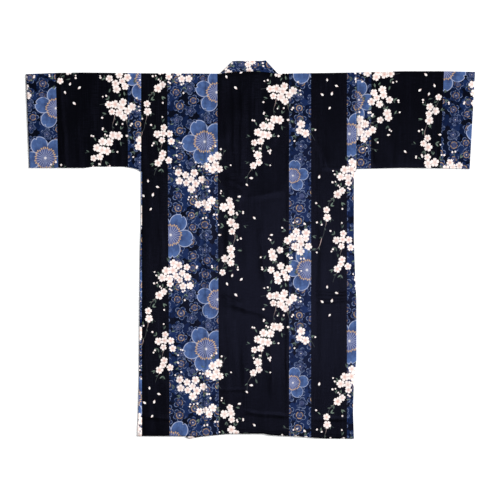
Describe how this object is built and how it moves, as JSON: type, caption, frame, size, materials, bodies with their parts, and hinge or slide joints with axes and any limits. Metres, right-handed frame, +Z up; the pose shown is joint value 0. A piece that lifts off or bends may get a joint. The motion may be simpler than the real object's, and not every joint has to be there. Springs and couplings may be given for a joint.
{
  "type": "cotton yukata robe",
  "caption": "Knee-length cotton yukata robe laid flat, back up, with straight sleeves, a standing band collar and wrap-over fronts.",
  "frame": {"origin": "centre of the robe's bounding box, at the surface that it lies on", "axes": "+X across the robe to the wearer's right sleeve, +Y from hem to collar, +Z up from the surface, out of the robe's back"},
  "size_m": [1.3109, 1.1046, 0.0055],
  "materials": {
    "back_cotton": "plain-weave cotton with a floral stripe print",
    "front_left_cotton": "plain-weave cotton with a floral stripe print",
    "front_right_cotton": "plain-weave cotton with a floral stripe print",
    "okumi_left_cotton": "plain-weave cotton with a floral stripe print",
    "okumi_right_cotton": "plain-weave cotton with a floral stripe print",
    "sleeve_left_cotton": "plain-weave cotton with a floral stripe print",
    "sleeve_right_cotton": "plain-weave cotton with a floral stripe print",
    "collar_neck_cotton": "plain-weave cotton, blue blossom print",
    "collar_left_cotton": "plain-weave cotton, blue blossom print",
    "collar_right_cotton": "plain-weave cotton, blue blossom print"
  },
  "bodies": {
    "root": {"back": "back_cotton", "front_left": "front_left_cotton", "front_right": "front_right_cotton", "okumi_left": "okumi_left_cotton", "okumi_right": "okumi_right_cotton", "sleeve_left": "sleeve_left_cotton", "sleeve_right": "sleeve_right_cotton", "collar_neck": "collar_neck_cotton", "collar_left": "collar_left_cotton", "collar_right": "collar_right_cotton"}
  },
  "joints": []
}
